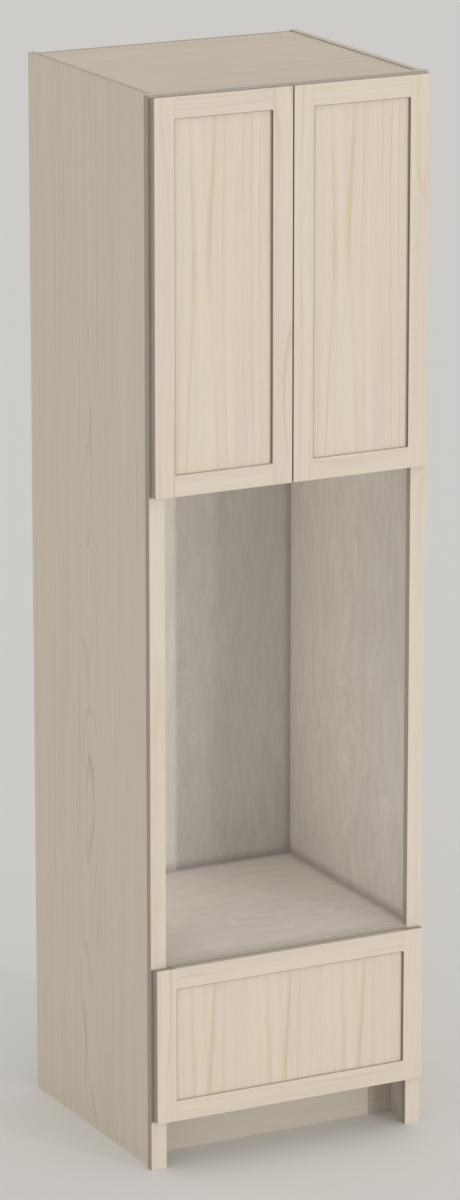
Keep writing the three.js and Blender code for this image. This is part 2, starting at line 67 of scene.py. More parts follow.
lens = bpy.data.cameras.new("photo_camera")
lens.sensor_fit = "VERTICAL"
lens.sensor_height = SENSOR_MM
lens.lens = SENSOR_MM * FOCAL_PIXELS / PHOTO_HEIGHT_PIXELS
lens.shift_y = (AXIS_ROW - PHOTO_HEIGHT_PIXELS / 2) / PHOTO_HEIGHT_PIXELS
camera = put_in_scene("photo_camera", lens)
camera.location = CAMERA_PLACE
camera.rotation_euler = (CAMERA_TILT, 0, CAMERA_TURN)
bpy.context.scene.camera = camera

# ---- Side panels ----
# Two sheets of 16 mm maple-veneered plywood stand on the floor and carry everything else. The veneer's
# grain runs up, the plies show on the cut edges, and shelf-pin holes are drilled in rows inside.
MM = 0.001
EASE = 0.7 * MM  # sandpaper takes this much off an arris
FINE_EASE = 0.3 * MM
ARRIS_ANGLE = math.radians(40)
SMOOTH_ANGLE = math.radians(32)
LOOKS_THERE = 0.8  # a face looks a way if its normal's share of that way is above this
HOLE_SIDES = 24
PIN_HOLE_RADIUS = 2.5 * MM
PIN_HOLE_DEPTH = 10 * MM
PIN_HOLE_PITCH = 32 * MM
PIN_HOLES = 7
X, Y, Z = 0, 1, 2
shift_of_board = random.Random(11)  # where each board was cut from the log
SHIFT_ACROSS, SHIFT_THROUGH, SHIFT_ALONG = (-0.06, 0.06), (-0.02, 0.03), (-20, 20)


def linear(colour):
    """An sRGB hex colour as the linear RGBA that a shader takes."""
    parts = [int(colour[i:i + 2], 16) / 255 for i in (0, 2, 4)]
    return [p / 12.92 if p <= 0.04045 else ((p + 0.055) / 1.055) ** 2.4 for p in parts] + [1.0]


def set_inputs(node, inputs):
    """Gives a shader node's inputs their values or links. A node's id_data is its node tree."""
    for name, value in inputs.items():
        if isinstance(value, bpy.types.NodeSocket):
            node.id_data.links.new(value, node.inputs[name])
        else:
            node.inputs[name].default_value = value


def add_node(material, kind, inputs=None, out=0, stops=(), **settings):
    """Adds a shader node with its settings, and returns one of its outputs.

    Each of its inputs takes a value or a link, and stops are a colour ramp's (position, hex colour) pairs.
    """
    node = material.node_tree.nodes.new(kind)
    for name, value in settings.items():
        setattr(node, name, value)
    set_inputs(node, inputs or {})
    if stops:
        elements = node.color_ramp.elements
        while len(elements) < len(stops):
            elements.new(1.0)
        for element, (position, colour) in zip(elements, stops):
            element.position = position
            element.color = linear(colour)
    return node.outputs[out]


def new_material(name):
    """A material with nothing but its Principled shader, which is returned with it."""
    material = bpy.data.materials.new(name)
    material.use_nodes = True
    return material, material.node_tree.nodes["Principled BSDF"]


# The patterns' real widths across the grain and lengths along it
DRIFT = (0.16, 0.75)
FADE = (0.05, 0.35)
STRIPE = (0.022, 0.9)
PORE = (0.0014, 0.05)  # maple's own pores are finer, and drawn coarser to show
HEART_DEPTH = 0.07
SIDEWAYS_SWAY = 0.6
WEATHER_CHANGES = 0.4  # good and poor years, in changes per ring
UNEVEN_GROWTH = 1.2  # how far they shift the rings, in rings
FAINTEST_RING = 0.15
LATE_WOOD = ((0.0, "000000"), (0.55, "000000"), (0.87, "ffffff"), (1.0, "000000"))
THIN_LATE_WOOD = ((0.0, "000000"), (0.7, "000000"), (0.88, "ffffff"), (0.97, "000000"))
NOISE_LOW, NOISE_HIGH = 0.3, 0.7  # nearly all of a noise lies between these
FADE_LOW, FADE_HIGH = 0.38, 0.62
STRIPE_LOW, STRIPE_HIGH = 0.36, 0.64
PORE_DARK, PORE_LIGHT = 0.955, 1.035
PORE_DEPTH = 0.05 * MM
PORE_BUMP = 0.25
LACQUER_IOR = 1.48


def maple(
    name, tones, ring, sway, drift=DRIFT, roughness=0.5, bow=0, leaf=0, late_wood=LATE_WOOD, stripe=STRIPE,
    pore=PORE,
):
    """Clear-lacquered maple, cut from a solid of growth rings, with a satin sheen and fine pores.

    tones are its body colour, its pinker body colour and its yellow late wood. ring is the growth rings'
    spacing, and sway how far the log's heart wanders over the width and length of drift. bow is how fast the
    heart comes nearer on both sides of the board's own place 0, which draws an hourglass of arches there.
    leaf is the width of the leaves that a wide veneer is laid up from, each with the same figure. late_wood
    is how dark a ring is from its start to its end. stripe and pore are the patterns' widths and lengths.
    """
    material, shader = new_material(name)
    body, pink, late = tones
    grain = add_node(material, "ShaderNodeAttribute", out="Vector", attribute_name="grain")
    if leaf or bow:
        across, through, along = (
            add_node(material, "ShaderNodeSeparateXYZ", {0: grain}, axis) for axis in (X, Y, Z)
        )
    if leaf:
        across = add_node(
            material, "ShaderNodeMath", {0: across, 1: leaf / 2, 2: -leaf / 2}, operation="WRAP",
        )
        grain = add_node(material, "ShaderNodeCombineXYZ", {"X": across, "Y": through, "Z": along})
    noise = {}
    for pattern, (width, length), detail, out in (
        ("drift", drift, 2.0, "Color"), ("fading", FADE, 1.0, "Fac"), ("stripes", stripe, 3.0, "Fac"),
        ("pores", pore, 2.0, "Fac"),
    ):
        place = add_node(
            material, "ShaderNodeVectorMath", {0: grain, 1: (1 / width, 1 / width, 1 / length)},
            operation="MULTIPLY",
        )
        noise[pattern] = add_node(
            material, "ShaderNodeTexNoise", {"Vector": place, "Scale": 1.0, "Detail": detail}, out,
        )
    wander = add_node(
        material, "ShaderNodeVectorMath", {0: noise["drift"], 1: (sway * SIDEWAYS_SWAY, sway, 0), 2: grain},
        operation="MULTIPLY_ADD",
    )
    heart = (-sway * SIDEWAYS_SWAY / 2, HEART_DEPTH - sway / 2, 0)
    if bow:
        squared = add_node(material, "ShaderNodeMath", {0: along, 1: along}, operation="MULTIPLY")
        heart = add_node(
            material, "ShaderNodeVectorMath", {0: squared, 1: (0, -bow, 0), 2: heart},
            operation="MULTIPLY_ADD",
        )
    from_heart = add_node(
        material, "ShaderNodeVectorMath", {0: wander, 1: (1, 1, 0), 2: heart}, operation="MULTIPLY_ADD",
    )
    radius = add_node(material, "ShaderNodeVectorMath", {0: from_heart}, "Value", operation="LENGTH")
    years = add_node(material, "ShaderNodeMath", {0: radius, 1: ring}, operation="DIVIDE")
    weather = add_node(
        material, "ShaderNodeTexNoise", {"W": years, "Scale": WEATHER_CHANGES, "Detail": 1.0}, "Fac",
        noise_dimensions="1D",
    )
    rings = add_node(
        material, "ShaderNodeMath", {0: weather, 1: UNEVEN_GROWTH, 2: years}, operation="MULTIPLY_ADD",
    )
    phase = add_node(material, "ShaderNodeMath", {0: rings}, operation="FRACT")
    number = add_node(material, "ShaderNodeMath", {0: rings}, operation="FLOOR")
    chance = add_node(
        material, "ShaderNodeTexWhiteNoise", {"W": number}, "Value", noise_dimensions="1D",
    )
    ring_strength, fading, shade = (
        add_node(material, "ShaderNodeMapRange", dict(enumerate(values))) for values in (
            (chance, 0.0, 1.0, FAINTEST_RING, 1.0),
            (noise["fading"], FADE_LOW, FADE_HIGH, FAINTEST_RING, 1.0),
            (noise["pores"], NOISE_LOW, NOISE_HIGH, PORE_DARK, PORE_LIGHT),
        )
    )
    late_share = add_node(material, "ShaderNodeValToRGB", {"Fac": phase}, "Color", late_wood)
    for strength in (ring_strength, fading):
        late_share = add_node(
            material, "ShaderNodeMath", {0: late_share, 1: strength}, operation="MULTIPLY",
        )
    ground = add_node(
        material, "ShaderNodeValToRGB", {"Fac": noise["stripes"]}, "Color",
        ((STRIPE_LOW, body), (STRIPE_HIGH, pink)),
    )
    coloured = add_node(
        material, "ShaderNodeMix", {"Factor": late_share, 6: ground, 7: linear(late)}, 2, data_type="RGBA",
    )
    shaded = add_node(
        material, "ShaderNodeVectorMath", {0: coloured, "Scale": shade}, operation="SCALE",
    )
    bump = add_node(
        material, "ShaderNodeBump",
        {"Height": noise["pores"], "Strength": PORE_BUMP, "Distance": PORE_DEPTH},
    )
    set_inputs(shader, {
        "Base Color": shaded, "Normal": bump, "Roughness": roughness, "IOR": LACQUER_IOR,
    })
    return material


PLY = 1.6 * MM
PLY_TONES = (
    (0.0, "8f7a5c"), (0.04, "cdb995"), (0.44, "d3c19e"), (0.5, "94805f"),
    (0.54, "b59f7b"), (0.96, "bba683"), (1.0, "8f7a5c"),
)
FIBRE = (0.0008, 0.006)
FIBRE_DARK, FIBRE_LIGHT = 0.93, 1.04
SAWN_ROUGHNESS = 0.65


def plywood_edge(name):
    """The cut edge of plywood: thin plies whose grain lies along and across by turns, between glue."""
    material, shader = new_material(name)
    grain = add_node(material, "ShaderNodeAttribute", out="Vector", attribute_name="grain")
    through = add_node(material, "ShaderNodeSeparateXYZ", {0: grain}, "Y")
    pairs = add_node(material, "ShaderNodeMath", {0: through, 1: 2 * PLY}, operation="DIVIDE")
    phase = add_node(material, "ShaderNodeMath", {0: pairs}, operation="FRACT")
    layers = add_node(material, "ShaderNodeValToRGB", {"Fac": phase}, "Color", PLY_TONES)
    place = add_node(
        material, "ShaderNodeVectorMath", {0: grain, 1: (1 / FIBRE[0], 1 / FIBRE[0], 1 / FIBRE[1])},
        operation="MULTIPLY",
    )
    fibres = add_node(material, "ShaderNodeTexNoise", {"Vector": place, "Scale": 1.0, "Detail": 2.0}, "Fac")
    shade = add_node(
        material, "ShaderNodeMapRange",
        dict(enumerate((fibres, NOISE_LOW, NOISE_HIGH, FIBRE_DARK, FIBRE_LIGHT))),
    )
    coloured = add_node(
        material, "ShaderNodeVectorMath", {0: layers, "Scale": shade}, operation="SCALE",
    )
    set_inputs(shader, {"Base Color": coloured, "Roughness": SAWN_ROUGHNESS})
    return material


outside_veneer = maple(
    "clear_maple_veneer", ("dcd0bd", "d8caba", "c4b18a"), ring=0.01, sway=0.06, drift=(0.12, 0.6),
    late_wood=THIN_LATE_WOOD,
)
# The top's veneer is painted lighter and warmer, as painted light from above; the right side's top end takes
# it too.
top_veneer = maple("top_maple_veneer_painted_light", ("e1d2bc", "ddccb9", "d8c6a7"), ring=0.013, sway=0.09)
SANDED = {"ring": 0.009, "sway": 0.05, "roughness": 0.6}  # close rings, and duller than a lacquered face
# The left side's top end is painted darker, as painted shade at its joint with the top.
shaded_side_end = maple("maple_side_end_painted_shade", ("c8b9a6", "c4b5a2", "bfb09a"), **SANDED)
plies = plywood_edge("maple_plywood_edge")


def corners(node):
    """A node's lowest and highest corners at rest."""
    low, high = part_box(node)
    return Vector(low), Vector(high)


# How wide the painted shade along inner corners is, and how dark it is at its deepest
CORNER_BAND = 0.028
CORNER_SHADE = 0.72
SIDES = ((X, "side_panel_left"), (X, "side_panel_right"))
FLOORS = ((Z, "top_panel"), (Z, "cupboard_floor"), (Z, "oven_shelf"), (Z, "bottom_panel"))
FLECK = (0.03, 0.12)
PEELED_PORE = (0.0018, 0.022)
PEELED_DRIFT = (0.09, 0.12)
PEELED_ROUGHNESS = 0.55


def inside_maple(name, tones, boards):
    """Maple peeled round the log: a broad, flecked figure, with painted shade along the inner corners with
    the boards.

    Each board near a point adds 1, its own board too, so that a point in a corner comes to 2.
    """
    material = maple(
        name, tones, ring=0.03, sway=0.16, drift=PEELED_DRIFT, roughness=PEELED_ROUGHNESS, stripe=FLECK,
        pore=PEELED_PORE,
    )
    shader = material.node_tree.nodes["Principled BSDF"]
    place = add_node(material, "ShaderNodeTexCoord", out="Object")
    near = 0.0
    for axis, node in boards:
        low, high = (corner[axis] for corner in corners(node))
        part = add_node(material, "ShaderNodeSeparateXYZ", {0: place}, axis)
        away = add_node(material, "ShaderNodeMath", {0: part, 1: (low + high) / 2}, operation="SUBTRACT")
        apart = add_node(material, "ShaderNodeMath", {0: away}, operation="ABSOLUTE")
        half = (high - low) / 2
        touch = add_node(
            material, "ShaderNodeMapRange", dict(enumerate((apart, half, half + CORNER_BAND, 1.0, 0.0))),
            interpolation_type="SMOOTHERSTEP",
        )
        near = add_node(material, "ShaderNodeMath", {0: near, 1: touch}, operation="ADD")
    # Darkens the colour as painted shade where a point lies in a corner
    shade = add_node(
        material, "ShaderNodeMapRange", dict(enumerate((near, 1.0, 2.0, 1.0, CORNER_SHADE))),
    )
    unshaded = shader.inputs["Base Color"].links[0].from_socket
    corner_shaded = add_node(material, "ShaderNodeVectorMath", {0: unshaded, "Scale": shade}, operation="SCALE")
    set_inputs(shader, {"Base Color": corner_shaded})
    return material


inside_veneer = inside_maple("inside_maple_veneer", ("d3cdc5", "cdc6be", "dad4cb"), SIDES + FLOORS)


def block(low, high):
    """A rectangular block between two corners."""
    shell = bmesh.new()
    bmesh.ops.create_cube(shell, size=1.0)
    bmesh.ops.scale(shell, vec=Vector(high) - Vector(low), verts=shell.verts)
    bmesh.ops.translate(shell, vec=(Vector(high) + Vector(low)) / 2, verts=shell.verts)
    return shell


def facing(*way):
    """A test for the faces that look a given way."""
    return lambda face: face.normal.dot(Vector(way)) > LOOKS_THERE


def round_edges(shell, edges, radius, segments):
    """Rounds some of a shell's edges to a radius."""
    bmesh.ops.bevel(
        shell, geom=edges, offset=radius, offset_type="OFFSET", affect="EDGES", segments=segments,
        profile=0.5, material=-1, clamp_overlap=True,
    )


def ease(shell, radius, glued=(), segments=2):
    """Rounds a shell's edges, but not those of a face that is glued to its neighbour."""
    shell.normal_update()
    tests = [facing(*way) for way in glued]
    edges = [
        edge for edge in shell.edges
        if edge.calc_face_angle(0) > ARRIS_ANGLE
        and not any(test(face) for test in tests for face in edge.link_faces)
    ]
    round_edges(shell, edges, radius, segments)
    return shell


def rod(radius, axis, centre, start, end, sides=HOLE_SIDES):
    """A round rod along an axis. centre is its place on the other two, in the order X, Y, Z."""
    shell = bmesh.new()
    bmesh.ops.create_cone(
        shell, cap_ends=True, segments=sides, radius1=radius, radius2=radius, depth=abs(end - start),
    )
    turns = {X: Matrix.Rotation(math.radians(90), 3, "Y"), Y: Matrix.Rotation(math.radians(90), 3, "X")}
    if axis in turns:
        bmesh.ops.rotate(shell, matrix=turns[axis], verts=shell.verts)
    place = list(centre)
    place.insert(axis, (start + end) / 2)
    bmesh.ops.translate(shell, vec=place, verts=shell.verts)
    return shell


def to_object(name, shell):
    """Makes an object of a shell, which it uses up."""
    mesh = bpy.data.meshes.new(name)
    bmesh.ops.recalc_face_normals(shell, faces=shell.faces)
    shell.to_mesh(mesh)
    shell.free()
    return put_in_scene(name, mesh)


def merged(shells):
    """Several shells as one, each still closed by itself."""
    whole = shells[0]
    for other in shells[1:]:
        mesh = bpy.data.meshes.new("part")
        other.to_mesh(mesh)
        other.free()
        whole.from_mesh(mesh)
        bpy.data.meshes.remove(mesh)
    return whole


def combined(shell, tools, how="DIFFERENCE"):
    """The shell with the tools cut out of it, or joined to it."""
    work = to_object("work", shell)
    for tool in tools:
        bit = to_object("bit", tool)
        cut = work.modifiers.new("cut", "BOOLEAN")
        cut.operation = how
        cut.solver = "EXACT"
        cut.object = bit
    bpy.context.view_layer.update()
    result = bmesh.new()
    result.from_object(work, bpy.context.evaluated_depsgraph_get())
    for used in [m.object for m in work.modifiers] + [work]:
        mesh = used.data
        bpy.data.objects.remove(used)
        bpy.data.meshes.remove(mesh)
    return result


def make_piece(name, shell, body, materials, nodes=(), smooth=False):
    """Makes the shell a piece that rides on a body and may stand for nodes of the frame."""
    piece = to_object(name, shell)
    for material in materials:
        piece.data.materials.append(material)
    if smooth:
        piece.data.shade_smooth()
        piece.data.set_sharp_from_angle(angle=SMOOTH_ANGLE)
        piece.modifiers.new("flat_faces_stay_flat", "WEIGHTED_NORMAL").keep_sharp = True
    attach(piece, body)
    if nodes:
        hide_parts(*nodes)
    return piece


def make_board(name, shell, body, along, through, materials, nodes=(), offset=None, others=()):
    """Makes the shell a wooden piece.

    along is the axis that its grain runs on and through the axis of its thickness. materials are those of
    its two faces, its long edges and its ends, and others are (test, material) pairs for other faces. The
    board's own place in the log comes with it as the attribute grain: across, through and along, in metres.
    offset is where that place starts, and is drawn by lot, or its last part is, where it isn't given.
    """
    shell.normal_update()
    for face in shell.faces:
        turned = [abs(part) > LOOKS_THERE for part in face.normal]
        face.material_index = 0 if turned[through] else 2 if turned[along] else 1
        for index, (test, _) in enumerate(others):
            if test(face):
                face.material_index = 3 + index
    materials = [*materials, *(material for _, material in others)]
    piece = make_piece(name, shell, body, materials, nodes)
    across = 3 - along - through
    points = piece.data.vertices
    middle = [(min(p.co[a] for p in points) + max(p.co[a] for p in points)) / 2 for a in (X, Y, Z)]
    if offset is None:
        offset = [shift_of_board.uniform(*SHIFT_ACROSS), shift_of_board.uniform(*SHIFT_THROUGH)]
    shift = (*offset, shift_of_board.uniform(*SHIFT_ALONG))[:3]
    grain = piece.data.attributes.new("grain", "FLOAT_VECTOR", "POINT")
    for point, value in zip(points, grain.data):
        value.vector = [point.co[a] - middle[a] + s for a, s in zip((across, through, along), shift)]
    return piece


def plain_board(
    node, made, body, along, through, face, radius=FINE_EASE, offset=None, others=(),
):
    """Makes a board of its node's own size, with eased arrises."""
    make_board(
        f"{node}_{made}", ease(block(*corners(node)), radius), body, along, through,
        (face, plies, plies), [node], offset, others,
    )


shelf_low = corners("adjustable_shelf")[0]
pin_rows = [sum(c.y for c in corners(f"shelf_pin_{row}_left")) / 2 for row in ("front", "back")]
PIN_TONGUE = 2.5 * MM
# The left side's top end takes painted shade, and the right side's end takes the top's painted light.
for hand, inward, top_end in (("left", 1, shaded_side_end), ("right", -1, top_veneer)):
    low, high = corners(f"side_panel_{hand}")
    inner = high.x if hand == "left" else low.x
    holes = [
        rod(
            PIN_HOLE_RADIUS, X, (y, shelf_low.z - PIN_TONGUE / 2 + (i - PIN_HOLES // 2) * PIN_HOLE_PITCH),
            inner - inward * PIN_HOLE_DEPTH, inner + inward * MM,
        )
        for y in pin_rows for i in range(PIN_HOLES)
    ]
    panel = combined(ease(block(low, high), FINE_EASE), [merged(holes)])
    make_board(
        f"side_panel_{hand}_veneered", panel, "root", Z, X, (outside_veneer, plies, plies),
        [f"side_panel_{hand}"],
        others=[(facing(inward, 0, 0), inside_veneer), (facing(0, 0, 1), top_end)],
    )

# ---- Top, floors and bottom ----
# Sheets of maple plywood let in between the sides. The top shows its outside veneer, painted lighter as
# painted light from above, the others the greyer inside veneer, whose broad figure comes of peeling it round
# the log, with painted shade in its inner corners.
BACK = ((Y, "back_panel"),)
floor_veneer = inside_maple("floor_maple_veneer", ("ded7cf", "d8d0c8", "e4ddd4"), SIDES + BACK + FLOORS)
for node, veneer, slot in (
    ("top_panel", top_veneer, "maple"), ("cupboard_floor", floor_veneer, "maple_inside"),
    ("oven_shelf", floor_veneer, "maple_inside"), ("bottom_panel", floor_veneer, "maple_inside"),
):
    plain_board(node, "veneered", "root", X, Z, veneer)

# ---- Back panel and hanging rail ----
# A 12.7 mm plywood back closes the carcass between the sides. Countersunk screws hold it to the top, the
# floors and the bottom, and to a rail inside its top that takes the screws to the wall.
BACK_SCREW_RADIUS = 4 * MM
BACK_SCREW_CLEARANCE = 0.2 * MM
BACK_SCREW_SINK = 1.5 * MM
BACK_SCREW_HEIGHT = 1.2 * MM
BACK_SCREW_SPREAD = (-0.25, 0, 0.25)
# The back's inside veneer is painted a shade darker than the walls', as painted shade at the back of the
# cavity.
shaded_back_veneer = inside_maple("back_maple_veneer_painted_shade", ("c5bfb7", "bfb9b1", "cbc5bc"), SIDES + BACK + FLOORS)
rear_veneer = maple(
    "rear_maple_veneer", ("d0c5b5", "cabfb0", "c5b9a6"), ring=0.04, sway=0.2, drift=(0.12, 0.22),
    roughness=PEELED_ROUGHNESS,
)
back_low, back_high = corners("back_panel")
held_boards = [corners(node) for node in ("top_panel", "cupboard_floor", "oven_shelf", "bottom_panel")]
back_screws = [
    Vector((x, back_high.y - BACK_SCREW_SINK, (low.z + high.z) / 2))
    for low, high in [*held_boards, corners("hanging_rail")] for x in BACK_SCREW_SPREAD
]
sinks = [
    rod(
        BACK_SCREW_RADIUS + BACK_SCREW_CLEARANCE, Y, (place.x, place.z), back_high.y - BACK_SCREW_SINK,
        back_high.y + MM,
    )
    for place in back_screws
]
back = combined(ease(block(back_low, back_high), FINE_EASE), [merged(sinks)])
make_board(
    "back_panel_veneered", back, "root", Z, Y, (shaded_back_veneer, plies, plies), ["back_panel"],
    others=[(facing(0, 1, 0), rear_veneer)],
)
plain_board("hanging_rail", "board", "root", X, Y, inside_veneer, EASE)

# ---- Toe board ----
# A maple-veneered board set back under the bottom panel, glued between the sides with its grain running
# across. Feet and mops dull its finish, and its colour is painted darker, as painted shade under the bottom
# panel.
toe_shade_veneer = maple(
    "toe_maple_veneer_painted_shade", ("c6bdaf", "c3b9ac", "c0b5a2"), ring=0.03, sway=0.06, roughness=0.6,
)
plain_board("toe_kick_board", "veneered", "root", X, Y, toe_shade_veneer)

# ---- Adjustable shelf ----
# Plywood with a solid maple lipping glued to its front edge. It lies loose on four nickel-plated pins,
# which push into any of the sides' holes.
outside_maple = maple(
    "clear_maple_solid", ("dbcfbc", "d7c9b9", "cbb995"), ring=0.014, sway=0.05, late_wood=THIN_LATE_WOOD,
)
plain_board(
    "adjustable_shelf", "lipped", "root", X, Z, floor_veneer, EASE,
    others=[(facing(0, -1, 0), outside_maple)],
)


HAZE = 0.004
HAZE_LOW, HAZE_HIGH = 0.35, 0.65
HAZE_SHINE, HAZE_DULLNESS = 0.06, 0.1  # how much smoother and rougher than the middle it gets


def steel(name, bright, dull, roughness):
    """Plated steel, rolled or pressed. Its plating is bright, with a fine haze."""
    material, shader = new_material(name)
    place = add_node(material, "ShaderNodeTexCoord", out="Object")
    haze = add_node(
        material, "ShaderNodeTexNoise", {"Vector": place, "Scale": 1 / HAZE, "Detail": 3.0}, "Fac",
    )
    rough = add_node(
        material, "ShaderNodeMapRange",
        dict(enumerate((haze, NOISE_LOW, NOISE_HIGH, roughness - HAZE_SHINE, roughness + HAZE_DULLNESS))),
    )
    tone = add_node(
        material, "ShaderNodeValToRGB", {"Fac": haze}, "Color", ((HAZE_LOW, bright), (HAZE_HIGH, dull)),
    )
    set_inputs(shader, {"Base Color": tone, "Roughness": rough, "Metallic": 1.0})
    return material


nickel = steel("nickel_plated_steel", "cecbc4", "c3c0b9", 0.3)
zinc = steel("zinc_plated_steel", "c9ccce", "bbbfc2", 0.36)
for row in ("front", "back"):
    for hand in ("left", "right"):
        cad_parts[f"shelf_pin_{row}_{hand}"].material_slots[0].material = nickel

# ---- Face frame ----
# Solid maple stiles and rails, 19 mm thick, glued and pocket-screwed flush, 6 mm past each side. Their edges
# are painted browner than their faces, as painted shade, and so are the oven rail's strip over the drawer,
# as painted shade, and the left stile's strip beside the fronts, as the fronts' painted shadow.
TOP_ROUND = 2.5 * MM
TOUCHING = 1e-6
ROUND_TILT = 0.1
LOOKS_FORWARD = -0.3  # the Y of such a face's normal is below this


def cut_across(shell, axis, place):
    """Divides a shell's faces where they cross a plane, so that each side can take its own material, such as
    a strip of painted shade.
    """
    point, normal = Vector(), Vector()
    point[axis], normal[axis] = place, 1
    bmesh.ops.bisect_plane(
        shell, geom=shell.verts[:] + shell.edges[:] + shell.faces[:], dist=TOUCHING, plane_co=point,
        plane_no=normal,
    )


def round_top(shell):
    """Rounds the upper arris of a frame member's face over, as a hand plane leaves it."""
    top = max(vert.co.z for vert in shell.verts)
    front = min(vert.co.y for vert in shell.verts)
    arris = [
        edge for edge in shell.edges
        if all(v.co.z > top - TOUCHING and v.co.y < front + TOUCHING for v in edge.verts)
    ]
    round_edges(shell, arris, TOP_ROUND, 4)
    return shell


def on_round(face):
    """Whether a face belongs to a rounded upper arris."""
    tilted = face.normal.y < -ROUND_TILT and face.normal.z > ROUND_TILT
    return tilted and face.calc_area() > TOP_ROUND * MM


# Edges and rounded arrises are painted browner than the faces, as painted shade.
outside_edge = maple("maple_edge_painted_shade", ("aca295", "a89c8f", "a39581"), **SANDED)
# The left stile's strip beside the fronts is painted darker, as their painted shadow.
shaded_edge = maple("maple_strip_painted_shadow", ("a59b8d", "a09588", "9a8d7a"), **SANDED)
frame_maple = maple("frame_maple_solid", ("dbcfbc", "d7c9b9", "d3c4a9"), ring=0.014, sway=0.05)
frame_tops = [(facing(0, 0, 1), outside_veneer), (on_round, outside_edge)]
front_edge = corners("left_door_hinge_stile")[0].x
front_heights = [
    corners(node)[end].z for node, end in (
        ("drawer_front_left_stile", 0), ("drawer_front_left_stile", 1), ("left_door_hinge_stile", 0),
    )
]


def beside_fronts(face):
    """Whether a face is on the strip of frame that shows on the shaded side of the fronts."""
    middle = face.calc_center_median()
    low, high, door = front_heights
    beside = low < middle.z < high or middle.z > door
    return face.normal.y < LOOKS_FORWARD and middle.x < front_edge and beside


# The left stile is cut into strips, and those beside the fronts take the painted shadow.
for hand in ("left", "right"):
    node = f"frame_stile_{hand}"
    stile = ease(round_top(block(*corners(node))), EASE)
    if hand == "left":
        cut_across(stile, X, front_edge)
        for place in front_heights:
            cut_across(stile, Z, place)
    make_board(
        f"{node}_board", stile, "root", Z, Y, (frame_maple, outside_edge, outside_edge), [node],
        others=[*frame_tops, (beside_fronts, shaded_edge)],
    )
for place in ("top", "cupboard", "oven", "bottom"):
    node = f"frame_{place}_rail"
    shell = block(*corners(node))
    if place in ("top", "oven"):
        shell = round_top(shell)
    # The oven rail's face takes the edges' painted shade, where it shows over the drawer front.
    face = outside_edge if place == "oven" else frame_maple
    sill = [(facing(0, 0, 1), floor_veneer), (on_round, outside_edge)]
    make_board(
        f"{node}_board", ease(shell, EASE, glued=((-1, 0, 0), (1, 0, 0))), "root", X, Y,
        (face, outside_edge, outside_edge), [node], others=frame_tops if place == "top" else sill,
    )

# ---- Doors ----
# Each door is a flat maple-veneered panel held in the grooves of two stiles and two rails. The rails'
# tongues fill the ends of the stiles' grooves. Each hinge stile has two 35 mm bores in its back.
GROOVE_CLEARANCE = 0.25 * MM
GROOVE_DEPTH = 8 * MM
PANEL_REACH = GROOVE_DEPTH - GROOVE_CLEARANCE  # how far the panel and the rails' tongues go in
HINGE_CUP_RADIUS = 17.5 * MM
HINGE_CUP_DEPTH = 12.5 * MM
BORE_CLEARANCE = 0.3 * MM
BORE_SIDES = 48
ARRIS_LINE = 0.9 * MM  # the width of a line of painted shade on the arris round a panel
panel_veneer, drawer_veneer = (
    maple(
        f"{front}_panel_maple_veneer", ("dbcfbc", "d7c9b9", "cdbc97"), ring=0.02, sway=0.014,
        drift=(0.09, 0.4), bow=0.09, leaf=leaf, late_wood=THIN_LATE_WOOD,
    )
    for front, leaf in (("door", 0), ("drawer", 0.19))
)
# The stiles' recess walls are painted dark, as painted shade in the panel's recess.
recess_edge = maple("recess_edge_painted_shade", ("8a8070", "867b6c", "7f735f"), **SANDED)
# The drawer front's upper edge is painted darker, as painted shade.
shaded_top_edge = maple("drawer_top_edge_painted_shade", ("d0c6b7", "ccc2b3", "c7bba8"), **SANDED)
# A dark line on the arris round each panel, as painted shade.
arris_shade_line = maple("arris_line_painted_shade", ("6e6455", "6a6052", "645944"), ring=0.009, sway=0.05)
# Where each panel was cut from the log: across its heart, out from it and along it
PANEL_PLACES = {
    "left_door": (0.05, -0.028, -0.1), "right_door": (0.045, -0.0275, -0.12), "drawer": (0.03, -0.028, 0.14),
}


def reaching(low, high, axis, inward, depth, overshoot):
    """A block's corners, narrowed to the last depth before its inner side and run past that side."""
    low, high = low.copy(), high.copy()
    if inward > 0:
        low[axis] = high[axis] - depth
        high[axis] += overshoot
    else:
        high[axis] = low[axis] + depth
        low[axis] -= overshoot
    return low, high


